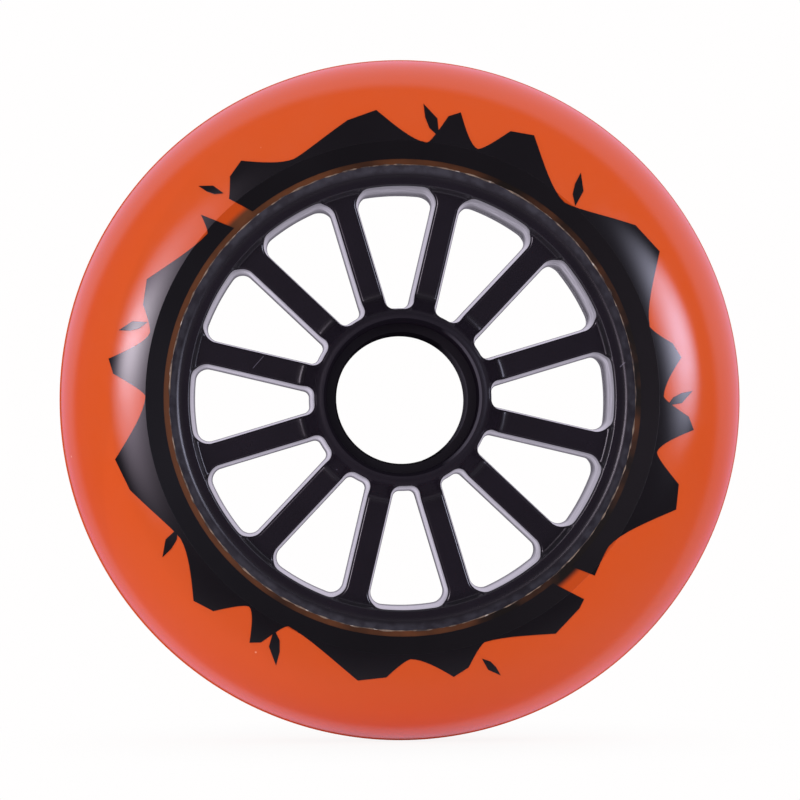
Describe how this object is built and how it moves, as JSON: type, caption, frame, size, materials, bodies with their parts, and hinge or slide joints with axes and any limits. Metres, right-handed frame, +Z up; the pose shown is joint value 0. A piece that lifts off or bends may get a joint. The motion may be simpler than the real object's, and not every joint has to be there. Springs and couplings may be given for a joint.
{
  "type": "scooter wheel",
  "caption": "Bare scooter wheel: a black spoked alloy core with two bearing seats and an orange polyurethane tyre, printed with a black band on each side.",
  "frame": {"origin": "centre of the wheel, on its axis and midway between its two faces", "axes": "+Y along the axle, towards the back; the front looks along -Y; +Z up, with the wheel standing on its tread"},
  "size_m": [0.1, 0.0242, 0.1],
  "materials": {
    "core": "satin",
    "tyre": "gloss",
    "ink": "gloss"
  },
  "bodies": {
    "root": {"core": "core", "tyre": "tyre", "front_print": "ink", "back_print": "ink"}
  },
  "joints": []
}
